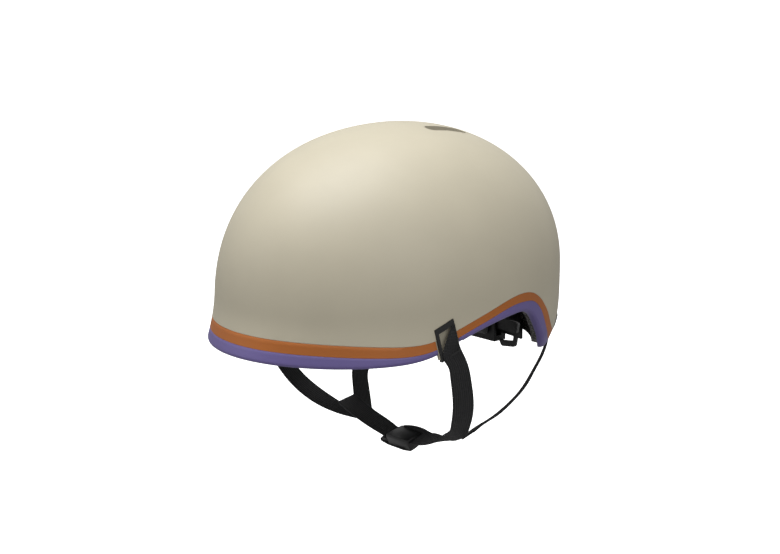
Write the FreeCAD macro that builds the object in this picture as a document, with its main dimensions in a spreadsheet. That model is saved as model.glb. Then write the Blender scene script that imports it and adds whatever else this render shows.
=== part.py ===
"""Urban cycling helmet: moulded shell with two stripe bands, foam liner, strap harness and fit cradle.

Frame: the front of the helmet faces -Y, the wearer's left is +X and +Z is up.
Z = 0 is the lowest edge of the front rim; X = 0, Y = 0 is the middle of the head opening.
"""
import FreeCAD, Part
import PartDesign
import Sketcher
import math
import os

Vector = FreeCAD.Vector
Placement = FreeCAD.Placement
Rotation = FreeCAD.Rotation

# ---------------------------------------------------------------- driving dimensions (mm, degrees)
SIZES = {
    # dome of the helmet at its outer surface
    "shell_half_width": 108.4, "shell_front_reach": 140.1, "shell_rear_reach": 140.4,
    "crown_height": 149.7, "dome_lean": 4.9,
    "widest_level_front": 29.1, "widest_level_side": 31.7, "widest_level_rear": 44.0,
    "roundness_front": 2.29, "roundness_side": 2.09, "roundness_rear": 2.02,
    "rear_tuck": 0.13, "rear_tuck_depth": 56.0, "brim_flare": 6.5, "brim_flare_level": 34.0, "lowest_level": -24.0,
    # layers of the dome
    "shell_wall": 2.0, "layer_gap": 0.1, "band_gap": 0.06, "trim_lip_depth": 5.5, "trim_lip_wall": 2.0,
    "liner_at_rim": 12.0, "liner_at_crown": 27.0, "pad_thickness": 7.0,
    # crown vents and the air channels behind them
    "vent_offset": 22.0, "vent_front": 17.0, "vent_rear": 55.0, "vent_width": 10.0,
    "vent_wall": 1.0, "vent_depth": 15.0, "channel_width": 17.0, "channel_depth": 7.0,
    # webbing harness
    "webbing_width": 20.0, "webbing_thickness": 1.3, "harness_pivot_y": -40.0, "harness_pivot_z": 8.0,
    "guide_width": 16.2, "guide_height": 22.5, "guide_depth": 3.8, "guide_top_bar": 3.8,
    "guide_side_bar": 2.6, "guide_proud": 0.8, "guide_slope": 24.3, "guide_lean": 0.24,
    "rear_guide_height": 15.0, "guide_pocket_wall": 0.9, "guide_slack": 0.15,
    "anchor_radius": 9.0, "anchor_thickness": 3.0,
    # magnetic chin buckle, curved about the harness pivot line
    "buckle_angle": -59.9, "buckle_half_arc": 5.6, "buckle_half_length": 13.0,
    "base_plate_inner_radius": 110.4, "plate_thickness": 3.2, "plate_gap": 0.15,
    "hook_height": 1.6, "hook_width": 2.2, "magnet_radius": 4.0, "magnet_thickness": 1.6,
    # fit cradle
    "temple_y": -55.0, "temple_z": 20.0, "temple_pin_radius": 2.5, "running_clearance": 0.05,
    "dial_z": -11.0, "knob_radius": 14.5, "knob_depth": 6.6, "knob_grips": 14, "yoke_wall": 2.0,
    "yoke_centre_y": -2.0, "yoke_rear_y": 96.0, "yoke_half_width": 150.0, "yoke_height": 15.0,
    "yoke_half_span": 47.0, "yoke_plate_set_in": 2.4, "yoke_plate_wall": 4.4, "loop_middle": 29.0,
    "housing_half_width": 24.0, "housing_height": 26.0, "housing_depth": 7.6,
    "pinion_teeth": 10, "pinion_pitch_radius": 5.0, "pinion_length": 4.4, "rack_back": 2.4,
    "tooth_width": 1.05, "tooth_height": 1.9, "band_height": 11.0, "band_thickness": 1.8,
    "screw_radius": 1.2, "screw_length": 7.0,
}

# Side view of the three lines round the rim: distance back, rim, top of trim, top of stripe.
RIM_LINES = [
    (-175, 2.0, 10.5, 18.5), (-120, 0.0, 9.0, 17.0), (-85, 0.0, 6.8, 14.3), (-52, 3.8, 8.4, 14.6),
    (-27, 12.4, 16.8, 22.2), (0, 19.4, 24.8, 30.4), (25, 22.6, 30.0, 36.0), (40, 21.3, 29.6, 35.8),
    (48, 16.2, 27.6, 33.6), (54, 8.4, 23.6, 30.4), (60, -1.0, 16.6, 26.0), (65, -8.2, 7.0, 20.8),
    (70, -12.4, -2.0, 14.6), (76, -14.4, -7.5, 4.6), (84, -15.2, -9.8, -2.0), (95, -15.5, -10.5, -4.6),
    (125, -16.0, -11.0, -5.5), (175, -15.5, -10.5, -5.0),
]
RIM, TRIM_TOP, STRIPE_TOP = 1, 2, 3

doc = FreeCAD.newDocument("cycling_helmet")
sheet = doc.addObject("Spreadsheet::Sheet", "sizes")
for row, (alias, value) in enumerate(SIZES.items(), start=1):
    sheet.set("A%d" % row, alias)
    sheet.set("B%d" % row, str(value))
    sheet.setAlias("B%d" % row, alias)
doc.recompute()


def size(alias):
    """Value of one driving dimension, read from the sheet."""
    return float(getattr(sheet, alias))


# ---------------------------------------------------------------- document helpers
SUB_PARTS = []


def keep(feature, name):
    """Mark a document object as a finished sub-part and label it."""
    feature.Label = name
    SUB_PARTS.append(feature)
    return feature


def feature_from(name, shape):
    """Part::Feature for a free-form sub-part."""
    feature = doc.addObject("Part::Feature", name)
    feature.Shape = shape
    return keep(feature, name)


def primitive(kind, name, place, **bound):
    """Part primitive whose sizes are expressions of the sheet."""
    item = doc.addObject("Part::" + kind, name)
    for prop, expression in bound.items():
        item.setExpression(prop, expression)
    item.Placement = place
    return item


def cut(name, base, tool):
    result = doc.addObject("Part::Cut", name)
    result.Base = base
    result.Tool = tool
    return result


def fuse(name, items):
    result = doc.addObject("Part::MultiFuse", name)
    result.Shapes = items
    return result


def mirrored(name, source):
    """The same piece on the wearer's right."""
    result = doc.addObject("Part::Mirroring", name)
    result.Source = source
    result.Normal = Vector(1, 0, 0)
    result.Base = Vector(0, 0, 0)
    return keep(result, name)


def origin_plane(body, role):
    return next(item for item in body.Origin.OriginFeatures if item.Role == role)


def new_sketch(body, name, role="XY_Plane"):
    sketch = body.newObject("Sketcher::SketchObject", name)
    sketch.AttachmentSupport = [(origin_plane(body, role), "")]
    sketch.MapMode = "FlatFace"
    return sketch


def add_rectangle(sketch, low, high):
    """Closed rectangle between two corners; returns the index of its first side."""
    corners = [Vector(low[0], low[1], 0), Vector(high[0], low[1], 0),
               Vector(high[0], high[1], 0), Vector(low[0], high[1], 0)]
    return add_polygon(sketch, corners)


def add_polygon(sketch, corners):
    first = len(sketch.Geometry)
    for start, end in zip(corners, corners[1:] + corners[:1]):
        sketch.addGeometry(Part.LineSegment(start, end))
    return first


def add_leaning_box(sketch, low, high):
    """Four-sided outline whose lower edge is shifted forwards, as the strap guides are."""
    add_polygon(sketch, [Vector(x, y, 0) for x, y in leaning_corners(low, high)])


def pad(body, sketch, name, expression):
    result = body.newObject("PartDesign::Pad", name)
    result.Profile = sketch
    result.setExpression("Length", expression)
    return result


def axes_placement(centre, across, outward):
    """Placement whose local X is across, local Z is outward."""
    upward = outward.cross(across)
    return Placement(centre, Rotation(across, upward, outward, "ZXY"))


# ---------------------------------------------------------------- dome surfaces
def bulge(level, widest, top, roundness):
    """1 at and below the widest level, falling to 0 at the top on a superellipse."""
    rise = min(max((level - widest) / (top - widest), 0.0), 1.0)
    return (1.0 - rise ** roundness) ** (1.0 / roundness)


def dome_section(level, inset):
    """Horizontal outline of the dome at one level, moved inwards by inset: two half ellipses."""
    top = size("crown_height") - inset
    flare = size("brim_flare") * (max(size("brim_flare_level") - level, 0) / size("brim_flare_level")) ** 1.8
    flare = min(flare, size("brim_flare"))
    lean = size("dome_lean") * (level + 13) / 162

    def reach(full, widest):
        fullness = bulge(level, size("widest_level_" + widest), top, size("roundness_" + widest))
        return (size(full) - inset) * fullness

    wide = reach("shell_half_width", "side") + 0.45 * flare
    front = reach("shell_front_reach", "front") + flare
    below = max(size("widest_level_rear") - level, 0) / size("rear_tuck_depth")
    tuck = size("rear_tuck") * below ** 4.2
    rear = reach("shell_rear_reach", "rear") * (1 - tuck)
    centre = Vector(0, lean, level)

    def quarter_pair(long_reach, sign):
        """Half ellipse from +X round to -X through sign * Y."""
        major, minor = max(wide, long_reach), min(wide, long_reach)
        along_y = long_reach >= wide
        main = Vector(0, sign, 0) if along_y else Vector(1, 0, 0)
        side = Vector(1, 0, 0) if along_y else Vector(0, sign, 0)
        ellipse = Part.Ellipse(centre + main * major, centre + side * minor, centre)
        start = ellipse.parameter(centre + Vector(wide, 0, 0))
        end = ellipse.parameter(centre + Vector(-wide, 0, 0))
        middle = ellipse.parameter(centre + Vector(0, sign * long_reach, 0))
        return arc_through(ellipse, start, middle, end)

    return Part.Wire([quarter_pair(rear, 1), quarter_pair(front, -1)])


def arc_through(ellipse, start, middle, end):
    """The arc of an ellipse between two parameters that contains the middle one, as one edge."""
    turn = 2 * math.pi
    if (middle - start) % turn < (end - start) % turn:
        return Part.Arc(ellipse, start, start + (end - start) % turn).toShape()
    return Part.Arc(ellipse, end, end + (start - end) % turn).toShape()


def dome(inset_at):
    """Closed dome; inset_at(level) says how far it lies inside the helmet's outer surface."""
    bottom, step_top = size("lowest_level"), 40.0
    levels = [bottom, -18.0, -12.0, -6.0, 0.0, 6.0, 13.0, 22.0, 31.0, step_top]
    crown = size("crown_height") - inset_at(size("crown_height"))
    arc_angles = [18, 33, 47, 60, 71, 79.5, 85.5]
    levels += [step_top + (crown - step_top) * math.sin(math.radians(angle)) for angle in arc_angles]
    return Part.makeLoft([dome_section(level, inset_at(level)) for level in levels], True, False)


def even(inset):
    return lambda level: inset


def cavity_inset(level, extra=0.0):
    """Liner thickness: thin at the rim, full at the crown."""
    blend = min(max((level - 8.0) / 55.0, 0.0), 1.0)
    blend = blend * blend * (3 - 2 * blend)
    return size("liner_at_rim") + (size("liner_at_crown") - size("liner_at_rim")) * blend + extra


def above_line(line, raise_by=0.0):
    """Everything above one of the rim lines, as a prism along X."""
    half, roof = 150.0, 220.0
    points = [Vector(-half, row[0], row[line] + raise_by) for row in RIM_LINES]
    curve = Part.BSplineCurve()
    curve.interpolate(points)
    first, last = points[0], points[-1]
    top_front = Vector(-half, first.y, roof)
    top_rear = Vector(-half, last.y, roof)
    edges = [curve.toShape(), Part.makeLine(last, top_rear),
             Part.makeLine(top_rear, top_front), Part.makeLine(top_front, first)]
    return Part.Face(Part.Wire(edges)).extrude(Vector(2 * half, 0, 0))


def leaning_prism(place, low, high, depth):
    """Prism with a four-sided outline whose lower edge is shifted forwards, given in a local frame."""
    corners = [Vector(x, y, depth[0]) for x, y in leaning_corners(low, high)]
    face = Part.Face(Part.makePolygon(corners + corners[:1]))
    prism = face.extrude(Vector(0, 0, depth[1] - depth[0]))
    prism.Placement = place
    return prism


def leaning_corners(low, high):
    """Corners of a box leaning as the strap guides do."""
    lean = size("guide_lean")
    return [(x + lean * y, y) for x, y in
            ((low[0], low[1]), (high[0], low[1]), (high[0], high[1]), (low[0], high[1]))]


def oriented_block(centre, across, outward, spans):
    """Box given by its spans along across, upward and outward directions from a centre point."""
    (a0, a1), (b0, b1), (c0, c1) = spans
    block = Part.makeBox(a1 - a0, b1 - b0, c1 - c0, Vector(a0, b0, c0))
    block.Placement = axes_placement(centre, across, outward)
    return block


# ---------------------------------------------------------------- webbing
def ribbon(stations, width, thickness):
    """Solid strap through (centre, width hint) stations; each section is a thin rectangle."""
    centres = [Vector(*point) for point, hint in stations]
    sections = []
    for index, (point, hint) in enumerate(stations):
        before = centres[max(index - 1, 0)]
        after = centres[min(index + 1, len(centres) - 1)]
        tangent = (after - before).normalize()
        across = Vector(*hint)
        across = (across - tangent * across.dot(tangent)).normalize()
        normal = tangent.cross(across)
        half_w, half_t = across * (width / 2), normal * (thickness / 2)
        middle = centres[index]
        corners = [middle - half_w - half_t, middle + half_w - half_t,
                   middle + half_w + half_t, middle - half_w + half_t]
        sections.append(Part.makePolygon(corners + corners[:1]))
    return Part.makeLoft(sections, True, False)


# ---------------------------------------------------------------- strap guides at the rim
def guide_frame(name, placement, height_alias):
    """Moulded rectangular loop the webbing passes through."""
    body = doc.addObject("PartDesign::Body", name)
    sketch = new_sketch(body, name + "_outline")
    wide, tall, bar = size("guide_width"), size(height_alias), size("guide_side_bar")
    add_leaning_box(sketch, (0, -tall), (wide, 0))
    add_leaning_box(sketch, (bar * 0.9, -tall + bar / 2), (wide - bar / 2, -size("guide_top_bar")))
    frame_pad = pad(body, sketch, name + "_pad", "sizes.guide_depth")
    frame_pad.Reversed = True
    body.Placement = placement
    return body


def strap_end(name, placement, corners):
    """Flat end of the webbing inside a guide, given by its corners in the guide's plane."""
    points = [Vector(x, y, 0) for x, y in corners]
    face = Part.Face(Part.makePolygon(points + points[:1]))
    shape = face.extrude(Vector(0, 0, size("webbing_thickness")))
    shape.Placement = placement
    return shape


def along_bar(outward, slope):
    """Direction of a guide's top bar: level on the shell, then turned up by the slope."""
    level = Vector(-outward.y, outward.x, 0).normalize()
    turn = math.radians(slope)
    return level * math.cos(turn) + outward.cross(level) * math.sin(turn)


FRONT_OUT = Vector(0.953, -0.275, 0.127).normalize()
FRONT_ACROSS = along_bar(FRONT_OUT, size("guide_slope"))
FRONT_CORNER = Vector(101.5, -49.8, 22.8)
REAR_OUT = Vector(0.650, 0.640, -0.410).normalize()
REAR_ACROSS = along_bar(REAR_OUT, 0)
REAR_CORNER = Vector(73.0, 102.5, 3.0)


def pocket_blocks(corner, across, outward, height):
    """Outer and inner blocks of the moulded pocket that holds a strap guide."""
    wide, depth, slack = size("guide_width"), size("guide_depth"), size("guide_slack")
    border, reach = size("guide_pocket_wall") + slack, 14.0
    place = axes_placement(corner, across, outward)
    outer = leaning_prism(place, (-border, -height - reach), (wide + border, border),
                          (-depth - border, reach))
    inner = leaning_prism(place, (-slack, -height - reach), (wide + slack, slack), (-depth - slack, reach))
    return outer, inner


def both_sides(shape):
    """A shape and its mirror image across the middle plane."""
    return [shape, shape.mirror(Vector(0, 0, 0), Vector(1, 0, 0))]


front_pocket, front_hollow = pocket_blocks(FRONT_CORNER, FRONT_ACROSS, FRONT_OUT, size("guide_height"))
rear_pocket, rear_hollow = pocket_blocks(REAR_CORNER, REAR_ACROSS, REAR_OUT, size("rear_guide_height"))
POCKETS = both_sides(front_pocket) + both_sides(rear_pocket)
HOLLOWS = both_sides(front_hollow) + both_sides(rear_hollow)


# ---------------------------------------------------------------- crown vents
def vent_prism(grow, bottom, top):
    """Upright stadium prism of one crown vent on the wearer's left, grown outwards by grow."""
    radius = size("vent_width") / 2 + grow
    front = size("vent_front") + size("vent_width") / 2
    rear = size("vent_rear") - size("vent_width") / 2
    middle = size("vent_offset")
    ends = [Part.makeCylinder(radius, top - bottom, Vector(middle, y, bottom)) for y in (front, rear)]
    web = Part.makeBox(2 * radius, rear - front, top - bottom, Vector(middle - radius, front, bottom))
    return web.fuse(ends).removeSplitter()


# ---------------------------------------------------------------- shell, stripe, trim and liner
def build_shell_layers():
    outer = dome(even(0))
    inner = dome(even(size("shell_wall")))
    under_shell = dome(even(size("shell_wall") + size("layer_gap")))
    lip = dome(even(size("trim_lip_depth")))
    over_stripe = above_line(STRIPE_TOP)
    gap = size("band_gap")
    vents = both_sides(vent_prism(size("vent_wall") + gap, 60, 200))
    skin = outer.cut(inner)

    pockets = [block.common(outer) for block in POCKETS]
    pocket_walls = [block.common(above_line(RIM, size("trim_lip_wall"))) for block in pockets]
    shell = skin.common(over_stripe).fuse(pocket_walls).cut(HOLLOWS).cut(vents)
    feature_from("outer_shell", biggest(shell))

    stripe = skin.common(above_line(TRIM_TOP, gap)).cut(above_line(STRIPE_TOP, -gap)).cut(POCKETS)
    feature_from("orange_stripe_band", stripe)

    above_rim = above_line(RIM)
    strip = skin.common(above_rim).cut(above_line(TRIM_TOP, -gap))
    turned_in = outer.cut(lip).common(above_rim).cut(above_line(RIM, size("trim_lip_wall")))
    trim = strip.fuse(turned_in).cut(POCKETS)
    feature_from("rim_trim", trim)

    cavity = dome(cavity_inset)
    foam = under_shell.cut(cavity).common(above_line(RIM, size("trim_lip_wall") + size("layer_gap")))
    foam = foam.cut(POCKETS).cut(both_sides(vent_prism(size("vent_wall") + gap, 60, 200)))
    foam = foam.cut(both_sides(air_channel())).cut(temple_sockets())
    foam = foam.cut(anchor_pockets())
    feature_from("eps_liner", biggest(foam))
    return outer


def biggest(shape):
    """The largest solid of a shape: drops slivers left beside a cut."""
    return max(shape.Solids, key=lambda solid: solid.Volume)


def air_channel():
    """Front to back channel in the foam above the head, joining the vent."""
    half = size("channel_width") / 2
    slab = Part.makeBox(2 * half, 150, 140, Vector(size("vent_offset") - half, -70, 40))
    roof = dome(lambda level: cavity_inset(level, -size("channel_depth")))
    return slab.common(roof)


# ---------------------------------------------------------------- anchors hidden in the foam
ANCHOR_SPOTS = [(Vector(92.0, -38.0, 34.0), FRONT_OUT), (Vector(64.0, 92.0, 13.0), REAR_OUT)]


def anchor_disc(spot, outward, grow=0.0):
    """Plastic disc that spreads the strap load in the foam."""
    thick = size("anchor_thickness") + 2 * grow
    start = spot - outward * (thick / 2)
    return Part.makeCylinder(size("anchor_radius") + grow, thick, start, outward)


def anchor_pockets():
    pockets = []
    for spot, outward in ANCHOR_SPOTS:
        pockets += both_sides(anchor_disc(spot, outward, 0.1))
    return pockets


def build_anchors():
    discs = []
    for spot, outward in ANCHOR_SPOTS:
        discs += both_sides(anchor_disc(spot, outward))
    feature_from("strap_anchor_discs", Part.makeCompound(discs))


# ---------------------------------------------------------------- cradle pivots in the temples
PIN_FOOT_X, PIN_TIP_X, PIN_HEAD_WALL = 94.0, 67.5, 2.0
PIN_FLANGE_RADIUS, PIN_FLANGE_WALL, PIN_HEAD_RADIUS = 7.0, 3.0, 4.4


def temple_sockets():
    """Room in the foam for the two temple pins."""
    grow = 0.1
    middle = Vector(PIN_FOOT_X - PIN_FLANGE_WALL - grow, size("temple_y"), size("temple_z"))
    flange = Part.makeCylinder(PIN_FLANGE_RADIUS + grow, PIN_FLANGE_WALL + 2 * grow, middle, Vector(1, 0, 0))
    shank_foot = Vector(PIN_TIP_X, size("temple_y"), size("temple_z"))
    shank = Part.makeCylinder(size("temple_pin_radius") + grow, PIN_FOOT_X - PIN_TIP_X, shank_foot,
                              Vector(1, 0, 0))
    return both_sides(flange) + both_sides(shank)


def build_temple_pin():
    """Headed pin: flange in the foam, shank for the fit band, head that keeps the band on."""
    along_x = Rotation(Vector(0, 1, 0), 90)
    y, z = size("temple_y"), size("temple_z")
    shank = primitive("Cylinder", "pin_shank", Placement(Vector(PIN_TIP_X, y, z), along_x),
                      Radius="sizes.temple_pin_radius", Height=str(PIN_FOOT_X - PIN_TIP_X))
    flange = primitive("Cylinder", "pin_flange",
                       Placement(Vector(PIN_FOOT_X - PIN_FLANGE_WALL, y, z), along_x),
                       Radius=str(PIN_FLANGE_RADIUS), Height=str(PIN_FLANGE_WALL))
    head = primitive("Cylinder", "pin_head", Placement(Vector(PIN_TIP_X - PIN_HEAD_WALL, y, z), along_x),
                     Radius=str(PIN_HEAD_RADIUS), Height=str(PIN_HEAD_WALL))
    left = keep(fuse("temple_pin_solid_left", [shank, flange, head]), "temple_pin_left")
    mirrored("temple_pin_right", left)


# ---------------------------------------------------------------- comfort pads
def pad_layer(plan):
    """Foam pad that follows the cavity wall inside an upright plan prism."""
    outer = dome(lambda level: cavity_inset(level, 0.5))
    inner = dome(lambda level: cavity_inset(level, 0.5 + size("pad_thickness")))
    return biggest(plan.common(outer).cut(inner))


def build_pads():
    brow_plan = Part.makeBox(130, 60, 26, Vector(-65, -135, 12))
    feature_from("brow_pad", pad_layer(brow_plan))
    crown_plan = Part.makeBox(18, 120, 60, Vector(-9, -62, 85))
    feature_from("crown_pad", pad_layer(crown_plan))
    side_plan = Part.makeBox(22, 104, 75, Vector(40, -52, 62))
    left = feature_from("side_pad_left", pad_layer(side_plan))
    mirrored("side_pad_right", left)
    rear_plan = Part.makeBox(70, 60, 26, Vector(-35, 60, 52))
    feature_from("rear_pad", pad_layer(rear_plan))


# ---------------------------------------------------------------- vent ducts
def build_vent_ducts(outer):
    tube = vent_prism(size("vent_wall"), 60, 200).cut(vent_prism(0, 50, 210))
    floor_level = dome(even(size("vent_depth")))
    duct = tube.common(outer).cut(floor_level)
    left = feature_from("vent_duct_left", biggest(duct))
    mirrored("vent_duct_right", left)


# ---------------------------------------------------------------- fit band and cradle
def plate_front():
    """Y of the front face of the flat plate behind the dial."""
    return size("yoke_rear_y") - size("yoke_plate_set_in")


def yoke_arc_points(reach_extra, half_span, count=7):
    """Plan view points of the cradle's curve from -X to +X."""
    points = []
    for step in range(count):
        x = -half_span + 2 * half_span * step / (count - 1)
        reach = size("yoke_rear_y") - size("yoke_centre_y") + reach_extra
        fall = math.sqrt(1 - (x / (size("yoke_half_width") + reach_extra)) ** 2)
        y = size("yoke_centre_y") + reach * fall
        points.append(Vector(x, y, 0))
    return points


def curved_wall(reach_extra, half_span, thickness, low, high):
    """Upright wall that follows the cradle's curve."""
    inner = Part.BSplineCurve()
    inner.interpolate(yoke_arc_points(reach_extra, half_span))
    outer = Part.BSplineCurve()
    outer.interpolate(yoke_arc_points(reach_extra + thickness, half_span))
    ends = [Part.makeLine(inner.EndPoint, outer.EndPoint), Part.makeLine(outer.StartPoint, inner.StartPoint)]
    wire = Part.Wire(Part.__sortEdges__([inner.toShape(), outer.toShape()] + ends))
    wall = Part.Face(wire).extrude(Vector(0, 0, high - low))
    wall.translate(Vector(0, 0, low))
    return wall


def build_yoke():
    """Curved rear cradle with a loop hanging from each wing."""
    low = size("dial_z") - size("yoke_height") / 2
    high = low + size("yoke_height")
    wall = curved_wall(0, size("yoke_half_span"), size("yoke_wall"), low, high)
    window = Part.makeBox(10, 60, size("yoke_height") - 10, Vector(32, 70, low + 5))
    loop_outer = loop_prism(14.5, 8.5, low - 9.5, low + 4, 3.5)
    loop_inner = loop_prism(9.0, 7.0, low - 5.0, low + 0.5, 2.0)
    hoop = curved_wall(0, size("yoke_half_span"), size("yoke_wall"), low - 15, low + 5)
    hoop = hoop.common(loop_outer).cut(loop_inner)
    pieces = [wall.cut(both_sides(window))] + both_sides(hoop)
    yoke = pieces[0].fuse(pieces[1:])
    plate_y = plate_front()
    half = size("housing_half_width")
    backing = Part.makeBox(2 * half, size("yoke_plate_wall"), size("housing_height"),
                           Vector(-half, plate_y, size("dial_z") - size("housing_height") / 2))
    yoke = yoke.fuse(backing)
    front_clear = Part.makeBox(2 * half + 2, 20, 60, Vector(-half - 1, plate_y - 20, -50))
    bore = Part.makeCylinder(size("temple_pin_radius") + size("running_clearance"), 30,
                             Vector(0, plate_y - 10, size("dial_z")), Vector(0, 1, 0))
    yoke = yoke.cut([front_clear, bore] + screw_holes()).removeSplitter()
    feature_from("cradle_yoke", biggest(yoke))


def loop_prism(top_half, bottom_half, bottom, top, corner):
    """Tapered prism along Y under one cradle wing, with round lower corners; it rises to the side."""
    middle, start_y, slant = size("loop_middle"), 60.0, 9.0
    corners = [Vector(middle - bottom_half, start_y, bottom), Vector(middle + bottom_half, start_y, bottom),
               Vector(middle + top_half, start_y, top), Vector(middle - top_half, start_y, top)]
    block = Part.Face(Part.makePolygon(corners + corners[:1])).extrude(Vector(0, 80, 0))
    lower = [edge for edge in block.Edges
             if abs(edge.tangentAt(edge.FirstParameter).y) > 0.9 and edge.BoundBox.ZMax < bottom + 0.1]
    block = block.makeFillet(corner, lower)
    block.rotate(Vector(middle, 0, top), Vector(0, 1, 0), -slant)
    return block


SCREW_SPOTS = [(-19.0, 11.0), (19.0, 11.0), (-19.0, -11.0), (19.0, -11.0)]


def screw_holes():
    """Holes for the four housing screws, along Y."""
    radius = size("screw_radius") + 0.05
    start_y = size("yoke_rear_y") - size("housing_depth") - 4
    return [Part.makeCylinder(radius, 30, Vector(x, start_y + 5, size("dial_z") + z), Vector(0, 1, 0))
            for x, z in SCREW_SPOTS]


def build_housing():
    """Open box in front of the yoke that guides the two racks round the pinion."""
    body = doc.addObject("PartDesign::Body", "dial_housing_body")
    half, half_h = size("housing_half_width"), size("housing_height") / 2
    sketch = new_sketch(body, "housing_outline")
    add_rectangle(sketch, (-half, -half_h), (half, half_h))
    block = pad(body, sketch, "housing_block", "sizes.housing_depth")
    doc.recompute()
    full_volume = block.Shape.Volume
    recess = new_sketch(body, "rack_channel_outline")
    channel_half = size("pinion_pitch_radius") + size("tooth_height") / 2 + size("rack_back") + 0.6
    add_rectangle(recess, (-half - 1, -channel_half), (half + 1, channel_half))
    channel = body.newObject("PartDesign::Pocket", "rack_channel")
    channel.Profile = recess
    channel.Length = size("housing_depth") - 2.0
    channel.Reversed = True
    doc.recompute()
    if channel.Shape.Volume >= full_volume:
        raise RuntimeError("rack channel cuts nothing")
    place = Placement(Vector(0, plate_front() - 0.05, size("dial_z")), Rotation(Vector(1, 0, 0), 90))
    body.Placement = place
    holes = doc.addObject("Part::Feature", "housing_screw_holes")
    holes.Shape = Part.makeCompound(screw_holes())
    keep(cut("dial_housing_cut", body, holes), "dial_housing")


def build_screws():
    """Four countersunk screws that close the housing on the yoke."""
    screws = []
    head_y = size("yoke_rear_y") + size("yoke_wall")
    for x, z in SCREW_SPOTS:
        seat = Vector(x, head_y + 0.05, size("dial_z") + z)
        shank = Part.makeCylinder(size("screw_radius"), size("screw_length"), seat, Vector(0, -1, 0))
        head = Part.makeCylinder(2.1, 1.2, seat, Vector(0, 1, 0))
        drive = Part.makeCylinder(0.8, 1.0, seat + Vector(0, 0.5, 0), Vector(0, 1, 0), 360)
        screws.append(shank.fuse(head).cut(drive))
    feature_from("housing_screws", Part.makeCompound(screws))


def build_knob():
    """Dial with finger scallops round its edge; its shaft carries the pinion."""
    body = doc.addObject("PartDesign::Body", "dial_knob_body")
    sketch = new_sketch(body, "knob_outline")
    circle = sketch.addGeometry(Part.Circle(Vector(0, 0, 0), Vector(0, 0, 1), size("knob_radius")))
    radius = sketch.addConstraint(Sketcher.Constraint("Radius", circle, size("knob_radius")))
    sketch.setExpression("Constraints[%d]" % radius, "sizes.knob_radius")
    disc = pad(body, sketch, "knob_disc", "sizes.knob_depth")
    doc.recompute()
    grip_sketch = new_sketch(body, "knob_scallop_outline")
    scallop_radius = size("knob_radius") * 0.16
    grip_sketch.addGeometry(Part.Circle(Vector(size("knob_radius") + scallop_radius * 0.45, 0, 0),
                                        Vector(0, 0, 1), scallop_radius))
    scallop = body.newObject("PartDesign::Pocket", "knob_scallop")
    scallop.Profile = grip_sketch
    scallop.Type = "ThroughAll"
    scallop.Reversed = True
    doc.recompute()
    grips = body.newObject("PartDesign::PolarPattern", "knob_scallops")
    grips.Originals = [scallop]
    grips.Axis = (grip_sketch, ["N_Axis"])
    grips.Angle = 360
    grips.setExpression("Occurrences", "sizes.knob_grips")
    body.Tip = grips
    doc.recompute()
    if body.Shape.Volume >= disc.Shape.Volume:
        raise RuntimeError("knob scallops cut nothing")
    along_y = Rotation(Vector(1, 0, 0), -90)
    knob_y = size("yoke_rear_y") + size("yoke_wall") + 1.6
    body.Placement = Placement(Vector(0, knob_y, size("dial_z")), along_y)
    keep(body, "dial_knob")


def build_pinion():
    """Drive shaft through the yoke with the pinion's teeth on its inner end."""
    shaft_radius = size("temple_pin_radius")
    knob_y = size("yoke_rear_y") + size("yoke_wall") + 1.55
    start_y = plate_front() - 0.6 - size("pinion_length")
    axis = Vector(0, 1, 0)
    shaft = Part.makeCylinder(shaft_radius, knob_y - start_y, Vector(0, start_y, size("dial_z")), axis)
    root_radius = size("pinion_pitch_radius") - size("tooth_height") / 2
    root = Part.makeCylinder(root_radius, size("pinion_length"), Vector(0, start_y, size("dial_z")), axis)
    teeth = []
    for index in range(int(size("pinion_teeth"))):
        turn = 360.0 * (index + 0.5) / size("pinion_teeth")
        teeth.append(tooth(turn, start_y))
    pinion = root.fuse([shaft] + teeth).removeSplitter()
    feature_from("drive_pinion", pinion)


def tooth(turn, start_y):
    """One pinion tooth: a bar with a rounded tip, turned about the dial axis."""
    half = size("tooth_width") / 2
    tip = size("pinion_pitch_radius") + size("tooth_height") / 2
    bar = Part.makeBox(2 * half, size("pinion_length"), tip - half - 2, Vector(-half, start_y, 2))
    cap = Part.makeCylinder(half, size("pinion_length"), Vector(0, start_y, tip - half), Vector(0, 1, 0))
    shape = bar.fuse(cap)
    shape.rotate(Vector(0, 0, 0), Vector(0, 1, 0), turn)
    shape.translate(Vector(0, 0, size("dial_z")))
    return shape


def rack(side, upper):
    """Toothed bar along X above or below the pinion; side is +1 for the left band."""
    sign = 1 if upper else -1
    pitch = 2 * math.pi * size("pinion_pitch_radius") / size("pinion_teeth")
    root_z = size("pinion_pitch_radius") + size("tooth_height") / 2 + 0.25
    start_y = plate_front() - 0.8 - size("pinion_length")
    length = size("pinion_length")
    inner_x, outer_x = -13.0, 24.8
    back_low = root_z if upper else -root_z - size("rack_back")
    back = Part.makeBox(outer_x - inner_x, length, size("rack_back"), Vector(inner_x, start_y, back_low))
    half = size("tooth_width") / 2
    tip_z = size("pinion_pitch_radius") - size("tooth_height") / 2 + 0.35
    bars = []
    count = int(13.0 / pitch)
    for index in range(-count, count + 1):
        middle = index * pitch
        low = tip_z + half if upper else -root_z - 0.1
        bar = Part.makeBox(2 * half, length, root_z + 0.1 - tip_z - half, Vector(middle - half, start_y, low))
        cap = Part.makeCylinder(half, length, Vector(middle, start_y, sign * (tip_z + half)), Vector(0, 1, 0))
        bars += [bar, cap]
    shape = back.fuse(bars)
    if side < 0:
        shape = shape.mirror(Vector(0, 0, 0), Vector(1, 0, 0))
    shape.translate(Vector(0, 0, size("dial_z")))
    return shape


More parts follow.
